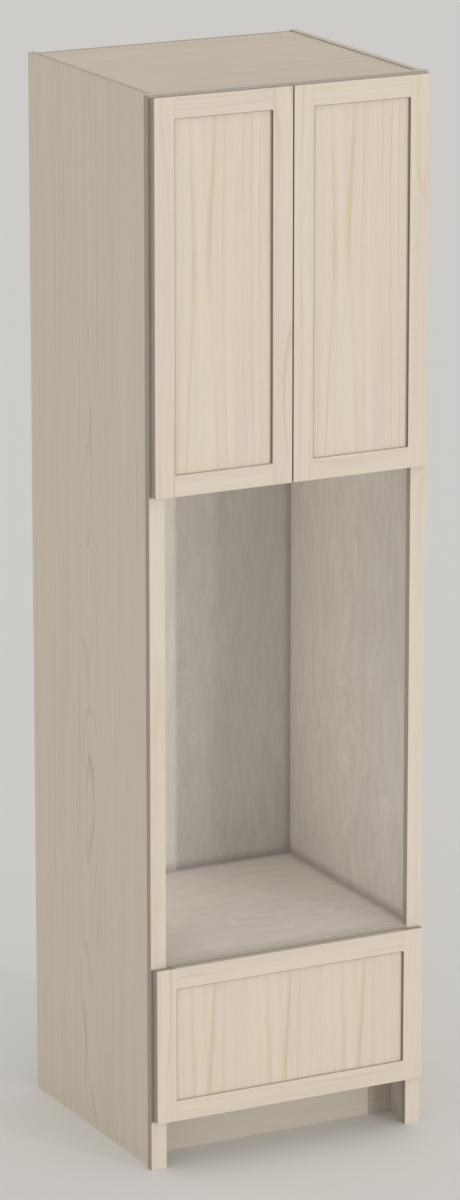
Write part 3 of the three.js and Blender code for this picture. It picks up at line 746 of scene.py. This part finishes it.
def front_member(node, panel_node, body, along, inward, bores=()):
    """A stile or rail of a front. Its groove faces inward, -1 or 1, on the axis across it."""
    low, high = corners(node)
    panel_low, panel_high = corners(panel_node)
    across = X if along == Z else Z
    way = [0, 0, 0]
    way[across] = inward
    ends = [] if along == Z else [(-1, 0, 0), (1, 0, 0)]
    shell = ease(block(low, high), EASE, glued=[way] + ends)
    ease(shell, FINE_EASE, glued=ends)
    groove = reaching(low, high, across, inward, GROOVE_DEPTH, MM)
    for corner, limit, side in zip(groove, (panel_low, panel_high), (-1, 1)):
        corner[Y] = limit[Y] + side * GROOVE_CLEARANCE
        corner[along] += side * MM
    shell = combined(shell, [block(*groove), *bores])
    if along == X:
        tongues = []
        for side in (-1, 1):
            tongue = [low.copy(), high.copy()]
            tongue[0][Y], tongue[1][Y] = panel_low[Y], panel_high[Y]
            end = low.x if side < 0 else high.x
            tongue[0].x, tongue[1].x = sorted((end - side * MM, end + side * PANEL_REACH))
            tongue[1 if inward > 0 else 0][Z] -= inward * GROOVE_DEPTH
            tongues.append(block(*tongue))
        shell = combined(shell, tongues, "UNION")
    inner = high[across] if inward > 0 else low[across]
    if along == X:
        opening = (low[X], high[X])
    else:
        opening = (panel_low.z + PANEL_REACH, panel_high.z - PANEL_REACH)
    cut_across(shell, across, inner - inward * ARRIS_LINE)
    if along == Z:
        for place in opening:
            cut_across(shell, Z, place)

    # The strip along the arris round the panel, which takes the line of painted shade.
    def on_arris(face):
        middle = face.calc_center_median()
        return (
            face.normal.y < LOOKS_FORWARD and abs(middle[across] - inner) < ARRIS_LINE
            and opening[0] < middle[along] < opening[1]
        )

    # The stiles' recess walls take painted shade, and the arris round the panel a line of painted shade.
    inner_edge = recess_edge if along == Z else outside_maple if inward > 0 else outside_edge
    others = [(facing(*way), inner_edge), (on_arris, arris_shade_line)]
    # The drawer's top rail's upper edge takes painted shade.
    if body == "drawer" and along == X and inward < 0:
        others.append((facing(0, 0, 1), shaded_top_edge))
    make_board(
        f"{node}_board", shell, body, along, Y, (outside_maple, outside_edge, outside_edge),
        [node], others=others,
    )


for hand, inward in (("left", 1), ("right", -1)):
    body = f"{hand}_door"
    panel = f"{hand}_door_panel"
    bores = []
    for level in ("lower", "upper"):
        cup_low, cup_high = corners(f"{hand}_hinge_{level}_cup")
        cup_x = cup_low.x + HINGE_CUP_RADIUS if inward > 0 else cup_high.x - HINGE_CUP_RADIUS
        door_back = corners(f"{hand}_door_hinge_stile")[1].y
        bores.append(rod(
            HINGE_CUP_RADIUS + BORE_CLEARANCE, Y, (cup_x, (cup_low.z + cup_high.z) / 2),
            door_back - HINGE_CUP_DEPTH - BORE_CLEARANCE, door_back + MM, BORE_SIDES,
        ))
    front_member(f"{hand}_door_hinge_stile", panel, body, Z, inward, bores)
    front_member(f"{hand}_door_meeting_stile", panel, body, Z, -inward)
    front_member(f"{hand}_door_top_rail", panel, body, X, -1)
    front_member(f"{hand}_door_bottom_rail", panel, body, X, 1)
    plain_board(panel, "veneered", body, Z, Y, panel_veneer, offset=PANEL_PLACES[body])

# ---- Concealed hinges ----
# Four hinges pressed from nickel-plated steel. A cup is screwed into each bore, an arm is screwed to the
# inner edge of the frame's stile, and a link between them turns as the door swings.
CUP_EDGE_DISTANCE = 4 * MM
CUP_WALL = 1.2 * MM
CUP_FLOOR = 0.6 * MM
CUP_CORNER = 1.6 * MM
OUTER_BEND, INNER_BEND = 0.3 * CUP_CORNER, 0.7 * CUP_CORNER
FLANGE = 1.2 * MM
FLANGE_RADIUS = 19.5 * MM
WING_REACH = 27 * MM
WING_INSETS = (2 * MM, 4 * MM)
WING_SCREW = (9 * MM, 22.5 * MM)  # from the cup's middle, the spacing of a standard cup's two screws
CUP_PIN = (-10.8 * MM, -6.7 * MM)
LINK_END_SHIFT = (0.2 * MM, 1.6 * MM)
ARM_PIN = (1.75 * MM, -8.1 * MM)
PIN_RADIUS = 1.2 * MM
PIN_CLEARANCE = 0.15 * MM
PIN_END = 0.3 * MM  # how far the arm's pin stands out of its cheeks
LINK_HALF_HEIGHT = 4.8 * MM
LINK_HALF_WIDTH = 1.1 * MM
LINK_EYE = 2.5 * MM
CHEEK_GAP = 0.4 * MM
CHEEK = 1.5 * MM
CHEEK_HALF_WIDTH = 2.2 * MM
CHEEK_EYE = 2.4 * MM
ARM_PLATE = 2 * MM
ARM_PLATE_HALF_HEIGHT = 24 * MM
ARM_PLATE_INSET = 1.5 * MM
ARM_WEB_GAP = 1 * MM
ARM_SCREW_HEIGHT = 16 * MM
STEEL_EASE = 0.25 * MM
PRESS_SIDES = 64
WING_CORNER = 4 * MM
PLATE_CORNER = 3 * MM
WEB_REACH = 5 * MM
FLANGE_CUT, STILE_CUT = 30 * MM, 20 * MM  # the tools reach this far past a hinge's middle
WING_SCREW_HEAD = (3.4 * MM, 0.5 * MM)  # a screw head's radius and height
ARM_SCREW_HEAD = (3.6 * MM, 1.6 * MM)
SCREW_SIDES = 20
HEAD_SINK, HEAD_ROUND, CROSS_FLOOR = 0.3, 0.55, 0.3  # as shares of a head's height
CROSS_ARM, CROSS_SLOT = 0.6, 0.13  # as shares of its radius


def mirrored(shell, hand):
    """A shape made for the left hand, turned over for the right."""
    if hand == "right":
        bmesh.ops.scale(shell, vec=(-1, 1, 1), verts=shell.verts)
        bmesh.ops.reverse_faces(shell, faces=shell.faces)
    return shell


def screw_heads(places, way, radius, height):
    """Screw heads with crossed recesses, standing from the places along the direction way."""
    head = rod(radius, Z, (0, 0), -HEAD_SINK * height, height, SCREW_SIDES)
    top = [edge for edge in head.edges if all(v.co.z > 0 for v in edge.verts)]
    round_edges(head, top, HEAD_ROUND * height, 3)
    arm, slot, floor = CROSS_ARM * radius, CROSS_SLOT * radius, CROSS_FLOOR * height
    head = combined(head, [
        block((-x, -y, floor), (x, y, 2 * height)) for x, y in ((arm, slot), (slot, arm))
    ])
    turn = Vector((0, 0, 1)).rotation_difference(Vector(way)).to_matrix().to_4x4()
    heads = []
    for place in places:
        one = head.copy()
        bmesh.ops.transform(one, matrix=Matrix.Translation(place) @ turn, verts=one.verts)
        heads.append(one)
    head.free()
    return merged(heads)


def bar_in_plan(start, end, half_width, low, high):
    """A flat bar that stands from low to high, its middle line from start to end in plan."""
    start, end = Vector(start), Vector(end)
    run = end - start
    shell = block((0, -half_width, low), (run.length, half_width, high))
    bmesh.ops.rotate(shell, matrix=Matrix.Rotation(math.atan2(run.y, run.x), 3, "Z"), verts=shell.verts)
    bmesh.ops.translate(shell, vec=(start.x, start.y, 0), verts=shell.verts)
    return shell


def hinge_cup(middle, rim, z):
    """The pressed cup, its half flange with two wings, and the two stubs of its open pivot."""
    profile = (
        (0, -HINGE_CUP_DEPTH), (HINGE_CUP_RADIUS - CUP_CORNER, -HINGE_CUP_DEPTH),
        (HINGE_CUP_RADIUS - OUTER_BEND, -HINGE_CUP_DEPTH + OUTER_BEND),
        (HINGE_CUP_RADIUS, -HINGE_CUP_DEPTH + CUP_CORNER), (HINGE_CUP_RADIUS, 0),
        (HINGE_CUP_RADIUS - CUP_WALL, 0), (HINGE_CUP_RADIUS - CUP_WALL, -HINGE_CUP_DEPTH + CUP_CORNER),
        (HINGE_CUP_RADIUS - CUP_WALL - INNER_BEND, -HINGE_CUP_DEPTH + CUP_FLOOR),
        (0, -HINGE_CUP_DEPTH + CUP_FLOOR),
    )
    cup = bmesh.new()
    points = [cup.verts.new((radius, height, 0)) for radius, height in profile]
    for first, second in zip(points, points[1:]):
        cup.edges.new((first, second))
    bmesh.ops.spin(
        cup, geom=cup.verts[:] + cup.edges[:], cent=(0, 0, 0), axis=(0, 1, 0), angle=math.tau,
        steps=BORE_SIDES, use_merge=True,
    )
    bmesh.ops.remove_doubles(cup, verts=cup.verts, dist=TOUCHING)
    bmesh.ops.translate(cup, vec=(middle, rim, z), verts=cup.verts)
    half_disc = combined(
        rod(FLANGE_RADIUS, Y, (middle, z), rim, rim + FLANGE, PRESS_SIDES),
        [block((middle - FLANGE_CUT, rim - MM, z - FLANGE_CUT), (middle, rim + 2 * MM, z + FLANGE_CUT))],
    )
    wings = block(
        (middle + WING_INSETS[0], rim, z - WING_REACH),
        (middle + FLANGE_RADIUS - WING_INSETS[1], rim + FLANGE, z + WING_REACH),
    )
    upright = [edge for edge in wings.edges if abs(edge.verts[0].co.y - edge.verts[1].co.y) > FLANGE / 2]
    round_edges(wings, upright, WING_CORNER, 5)
    hollow = rod(HINGE_CUP_RADIUS - CUP_WALL, Y, (middle, z), rim - MM, rim + 2 * MM, BORE_SIDES)
    flange = ease(combined(combined(half_disc, [wings], "UNION"), [hollow]), STEEL_EASE)
    pin = (middle + CUP_PIN[0], rim + CUP_PIN[1])
    reach = math.sqrt((HINGE_CUP_RADIUS - CUP_WALL) ** 2 - CUP_PIN[0] ** 2) + CUP_WALL / 2
    stubs = [
        rod(PIN_RADIUS, Z, pin, z + side * (LINK_HALF_HEIGHT + CHEEK_GAP), z + side * reach)
        for side in (-1, 1)
    ]
    screws = screw_heads(
        [(middle + WING_SCREW[0], rim + FLANGE, z + side * WING_SCREW[1]) for side in (-1, 1)],
        (0, 1, 0), *WING_SCREW_HEAD,
    )
    return merged([cup, flange, *stubs, screws])


def hinge_link(arm_pin, end, z):
    """The link: a bar with an eye round the arm's pin and a round end in the cup."""
    low, high = z - LINK_HALF_HEIGHT, z + LINK_HALF_HEIGHT
    link = combined(
        bar_in_plan(arm_pin, end, LINK_HALF_WIDTH, low, high),
        [rod(LINK_EYE, Z, place, low, high) for place in (arm_pin, end)], "UNION",
    )
    eye = rod(PIN_RADIUS + PIN_CLEARANCE, Z, arm_pin, low - MM, high + MM)
    return ease(combined(link, [eye]), STEEL_EASE, segments=1)


def hinge_arm(edge, arm_pin, front, back, z):
    """The plate on the stile's edge, with the web, two cheeks and the pin that carry the link."""
    plate = block(
        (edge, front + ARM_PLATE_INSET, z - ARM_PLATE_HALF_HEIGHT),
        (edge + ARM_PLATE, back - ARM_PLATE_INSET, z + ARM_PLATE_HALF_HEIGHT),
    )
    corners_of_plate = [e for e in plate.edges if abs(e.verts[0].co.x - e.verts[1].co.x) > ARM_PLATE / 2]
    round_edges(plate, corners_of_plate, PLATE_CORNER, 4)
    start, end = LINK_HALF_HEIGHT + CHEEK_GAP, LINK_HALF_HEIGHT + CHEEK_GAP + CHEEK
    web = block(
        (edge, arm_pin[1] + LINK_EYE + ARM_WEB_GAP, z - end), (edge + ARM_PLATE, front + WEB_REACH, z + end),
    )
    root = (arm_pin[0], (front + back) / 2)
    stile = block((edge - 2 * CHEEK_EYE, front - MM, z - STILE_CUT), (edge, back, z + STILE_CUT))
    cheeks = []
    for side in (-1, 1):
        low, high = sorted((z + side * start, z + side * end))
        cheek = combined(
            bar_in_plan(arm_pin, root, CHEEK_HALF_WIDTH, low, high), [rod(CHEEK_EYE, Z, arm_pin, low, high)],
            "UNION",
        )
        cheeks.append(cheek)
    bracket = combined(ease(plate, STEEL_EASE), [web, *cheeks], "UNION")
    bracket = combined(bracket, [stile])
    pin = rod(PIN_RADIUS, Z, arm_pin, z - end - PIN_END, z + end + PIN_END)
    screws = screw_heads(
        [(edge + ARM_PLATE, (front + back) / 2, z + side * ARM_SCREW_HEIGHT) for side in (-1, 1)],
        (1, 0, 0), *ARM_SCREW_HEAD,
    )
    return merged([bracket, pin, screws])


for level in ("lower", "upper"):
    stile_low, stile_high = corners("left_door_hinge_stile")
    frame_low, frame_high = corners("frame_stile_left")
    arm_low, arm_high = corners(f"left_hinge_{level}_arm")
    height = (arm_low.z + arm_high.z) / 2
    rim = stile_high.y
    middle = stile_low.x + CUP_EDGE_DISTANCE + HINGE_CUP_RADIUS
    arm_pin = (frame_high.x + ARM_PIN[0], rim + ARM_PIN[1])
    end = (middle + CUP_PIN[0] + LINK_END_SHIFT[0], rim + CUP_PIN[1] + LINK_END_SHIFT[1])
    for hand in ("left", "right"):
        parts = {
            "cup": (hinge_cup(middle, rim, height), f"{hand}_door"),
            "link": (hinge_link(arm_pin, end, height), f"{hand}_hinge_links"),
            "arm": (hinge_arm(frame_high.x, arm_pin, frame_low.y, frame_high.y, height), "root"),
        }
        for part, (shell, body) in parts.items():
            node = f"{hand}_hinge_{level}_{part}"
            make_piece(
                f"{node}_pressed", mirrored(shell, hand), body, [nickel], [node], smooth=True,
            )

# ---- Back panel's screws ----
# Zinc-plated countersunk screws with crossed recesses, fifteen in five rows, driven into their sinks just
# below the back panel's face.
make_piece(
    "back_panel_screws", screw_heads(back_screws, (0, 1, 0), BACK_SCREW_RADIUS, BACK_SCREW_HEIGHT), "root",
    [zinc], smooth=True,
)

# ---- Drawer front ----
# Made as the doors are, from two stiles and two rails round a panel. The wide panel's veneer is laid up
# from upright leaves cut one after the other, so that each has the same figure.
front_member("drawer_front_left_stile", "drawer_front_panel", "drawer", Z, 1)
front_member("drawer_front_right_stile", "drawer_front_panel", "drawer", Z, -1)
front_member("drawer_front_top_rail", "drawer_front_panel", "drawer", X, -1)
front_member("drawer_front_bottom_rail", "drawer_front_panel", "drawer", X, 1)
plain_board(
    "drawer_front_panel", "veneered", "drawer", Z, Y, drawer_veneer, offset=PANEL_PLACES["drawer"],
)

# ---- Drawer box ----
# Solid maple sides, front and back round a thin veneered bottom, which slides in under the back in the
# grooves of the other three. Four screws through the box's front hold the drawer front.
DRAWER_EASE = 1.5 * MM
BOX_GROOVE_CLEARANCE = Vector((0.1 * MM, 0.1 * MM, 0.1 * MM))
FRONT_SCREW_SPREAD = 0.7  # as a share of the box's half width
FRONT_SCREW_HEIGHTS = (0.3, 0.75)  # as shares of the box's height
FRONT_SCREW_HEAD = (4.5 * MM, 2 * MM)
drawer_maple = maple(
    "drawer_box_maple", ("ddd0ba", "dacbb8", "d4c4a4"), ring=0.014, sway=0.05, roughness=0.45,
)
bottom_low, bottom_high = corners("drawer_box_bottom")
groove_low, groove_high = bottom_low - BOX_GROOVE_CLEARANCE, bottom_high + BOX_GROOVE_CLEARANCE
groove_high.y += MM
for node, along, through in (
    ("left_side", Y, X), ("right_side", Y, X), ("front", X, Y), ("back", X, Y),
):
    shell = block(*corners(f"drawer_box_{node}"))
    glued = [(-1, 0, 0), (1, 0, 0)] if along == X else []
    shell = ease(shell, DRAWER_EASE if along == Y else EASE, glued=glued + [(0, 0, -1), (0, -1, 0)])
    if node != "back":
        shell = combined(shell, [block(groove_low, groove_high)])
    make_board(
        f"drawer_box_{node}_board", shell, "drawer", along, through, [drawer_maple] * 3,
        [f"drawer_box_{node}"],
    )
plain_board("drawer_box_bottom", "veneered", "drawer", X, Z, drawer_maple)
box_low, box_high = corners("drawer_box_front")
fixing_places = [
    (side * FRONT_SCREW_SPREAD * box_high.x, box_high.y, box_low.z + share * (box_high.z - box_low.z))
    for side in (-1, 1) for share in FRONT_SCREW_HEIGHTS
]
make_piece(
    "drawer_front_screws", screw_heads(fixing_places, (0, 1, 0), *FRONT_SCREW_HEAD), "drawer",
    [zinc], smooth=True,
)

# ---- Drawer slides ----
# Full-extension slides of rolled, zinc-plated steel. Each is three channels that run in one another:
# one on the cabinet, one between, one on the drawer. A spacer brings each past the frame's edge.
SLIDE_WALL = 1.2 * MM
SLIDE_ROUND = 0.5 * MM
SLIDE_SCREW_HEAD = (4 * MM, 1.2 * MM)
SLIDE_SCREWS = (0.1, 0.5, 0.9)  # along the drawer's member
for hand, inward in (("left", 1), ("right", -1)):
    node = f"slide_spacer_{hand}"
    plain_board(node, "board", "root", Y, X, inside_veneer, EASE)
    for member, body, opening in (
        ("cabinet", "root", inward), ("middle", "slide_middles", inward), ("drawer", "drawer", -inward),
    ):
        node = f"slide_{member}_member_{hand}"
        low, high = corners(node)
        hollow_low = Vector((low.x + SLIDE_WALL, low.y - MM, low.z + SLIDE_WALL))
        hollow_high = Vector((high.x - SLIDE_WALL, high.y + MM, high.z - SLIDE_WALL))
        if opening > 0:
            hollow_high.x = high.x + MM
        else:
            hollow_low.x = low.x - MM
        channel = ease(
            combined(block(low, high), [block(hollow_low, hollow_high)]), SLIDE_ROUND,
            glued=[(0, -1, 0), (0, 1, 0)],
        )
        if member == "drawer":
            web = (high.x if inward > 0 else low.x) - inward * SLIDE_WALL
            level = (low.z + high.z) / 2
            places = [(web, low.y + share * (high.y - low.y), level) for share in SLIDE_SCREWS]
            channel = merged([channel, screw_heads(places, (-inward, 0, 0), *SLIDE_SCREW_HEAD)])
        make_piece(f"{node}_rolled", channel, body, [zinc], [node], smooth=True)

# ---- Bumpers ----
# Clear soft polyurethane dots keep the doors and the drawer front off the face frame. Their gloss shows
# as a small highlight on a low dome.
BUMPER_RADIUS = 4 * MM
BUMPER_SHORTFALL = 0.1 * MM
BUMPER_INSET = 14 * MM
BUMPER_DOME = 1.4 * MM
BUMPER_CLOUD = 2 * MM
BUMPER_CLEARNESS = 0.6
BUMPER_IOR = 1.5
BUMPER_SMOOTHEST, BUMPER_ROUGHEST = 0.15, 0.4
clear_rubber, rubber_shader = new_material("clear_polyurethane")
rubber_place = add_node(clear_rubber, "ShaderNodeTexCoord", out="Object")
rubber_cloud = add_node(
    clear_rubber, "ShaderNodeTexNoise", {"Vector": rubber_place, "Scale": 1 / BUMPER_CLOUD, "Detail": 2.0},
    "Fac",
)
rubber_rough = add_node(
    clear_rubber, "ShaderNodeMapRange",
    {"Value": rubber_cloud, "To Min": BUMPER_SMOOTHEST, "To Max": BUMPER_ROUGHEST},
)
set_inputs(rubber_shader, {
    "Base Color": linear("dfe0dc"), "Transmission Weight": BUMPER_CLEARNESS, "IOR": BUMPER_IOR,
    "Roughness": rubber_rough,
})


def bumper_dots(places):
    """Domed dots on the backs of a door or the drawer front, each at an (x, z) place."""
    back = corners("drawer_front_left_stile")[1].y
    top = corners("frame_stile_left")[0].y - BUMPER_SHORTFALL
    dots = []
    for place in places:
        dot = rod(BUMPER_RADIUS, Y, place, back, top)
        rim_edges = [edge for edge in dot.edges if all(v.co.y > top - TOUCHING for v in edge.verts)]
        round_edges(dot, rim_edges, BUMPER_DOME, 4)
        dots.append(dot)
    return merged(dots)


for body, first, last in (
    ("left_door", "left_door_meeting_stile", "left_door_meeting_stile"),
    ("right_door", "right_door_meeting_stile", "right_door_meeting_stile"),
    ("drawer", "drawer_front_left_stile", "drawer_front_right_stile"),
):
    low, high = corners(first)[0], corners(last)[1]
    heights = (low.z + BUMPER_INSET, high.z - BUMPER_INSET)
    if body == "drawer":
        places = [(x, z) for x in (low.x + BUMPER_INSET, high.x - BUMPER_INSET) for z in heights]
    else:
        places = [((low.x + high.x) / 2, z) for z in heights]
    make_piece(f"{body}_bumpers", bumper_dots(places), body, [clear_rubber], smooth=True)

# ---- Floor, backdrop and light ----
# A plain pale studio floor, an even white surround, a hard and a soft lamp from the front right, whose
# light ends on the cavity's back in a sharp edge and a soft one, and a weak lamp from the left.
FLOOR_HALF = 40
FLOOR_ROUGHNESS = 0.9
SURROUND_STRENGTH = 0.66
floor_paint, floor_shader = new_material("studio_floor")
set_inputs(floor_shader, {"Base Color": linear("f0eeea"), "Roughness": FLOOR_ROUGHNESS})
floor_shell = bmesh.new()
bmesh.ops.create_grid(floor_shell, x_segments=1, y_segments=1, size=FLOOR_HALF)
floor = to_object("studio_floor", floor_shell)
floor.data.materials.append(floor_paint)

world = bpy.data.worlds.new("studio")
bpy.context.scene.world = world
world.use_nodes = True
set_inputs(world.node_tree.nodes["Background"], {"Color": (1, 1, 1, 1), "Strength": SURROUND_STRENGTH})

# Each lamp's strength, angular width, azimuth to the right of the front, and elevation, in degrees
for name, strength, width, azimuth, elevation in (
    ("key", 0.78, 1, 25.5, 6), ("soft_key", 0.23, 4, 17.4, 6), ("left_fill", 0.22, 20, -50, 3),
):
    sun = bpy.data.lights.new(name, "SUN")
    sun.energy = strength
    sun.angle = math.radians(width)
    put_in_scene(name, sun).rotation_euler = (math.radians(90 - elevation), 0, math.radians(azimuth))

# Soft panels in the cavity's mouth, along its left wall and under its ceiling reach what the others can't.
PANEL_MARGIN = 0.02
PANEL_GAP = 5 * MM
WALL_PANEL_INSET = 0.3  # the left wall's panel stops short of the mouth and the ceiling, which have
WALL_PANEL_DROP = 0.15  # panels of their own
MOUTH_PANEL_SHARE = 0.5  # the mouth's panel fills its lower half
UPRIGHT = math.pi / 2
left_x, mouth_y = corners("frame_stile_left")[1].xy
right_x = corners("frame_stile_right")[0].x
back_y = corners("back_panel")[0].y
floor_z, ceiling_z = corners("oven_shelf")[1].z, corners("cupboard_floor")[0].z
cavity_width, cavity_depth, cavity_height = (
    far - near - 2 * PANEL_MARGIN
    for near, far in ((left_x, right_x), (mouth_y, back_y), (floor_z, ceiling_z))
)
middle_y, middle_z = (mouth_y + back_y) / 2, (floor_z + ceiling_z) / 2
mouth_height = MOUTH_PANEL_SHARE * cavity_height
for name, radiance, width, height, place, turn in (
    (
        "mouth", 0.22, cavity_width, mouth_height,
        (0, mouth_y + PANEL_GAP, floor_z + PANEL_MARGIN + mouth_height / 2), (UPRIGHT, 0, 0),
    ),
    (
        "wall", 1.2, cavity_depth - WALL_PANEL_INSET, cavity_height - WALL_PANEL_DROP,
        (left_x + PANEL_GAP, middle_y + WALL_PANEL_INSET / 2, middle_z - WALL_PANEL_DROP / 2),
        (UPRIGHT, 0, -UPRIGHT),
    ),
    ("ceiling", 0.4, cavity_width, cavity_depth, (0, middle_y, ceiling_z - PANEL_GAP), (0, 0, 0)),
):
    panel_light = bpy.data.lights.new(f"cavity_{name}", "AREA")
    panel_light.shape = "RECTANGLE"
    panel_light.size = width
    panel_light.size_y = height
    panel_light.energy = radiance * math.pi * width * height
    panel_lamp = put_in_scene(f"cavity_{name}", panel_light)
    panel_lamp.location = place
    panel_lamp.rotation_euler = turn
    panel_lamp.visible_camera = False
    panel_lamp.visible_glossy = False

bpy.context.scene.view_settings.view_transform = "Standard"
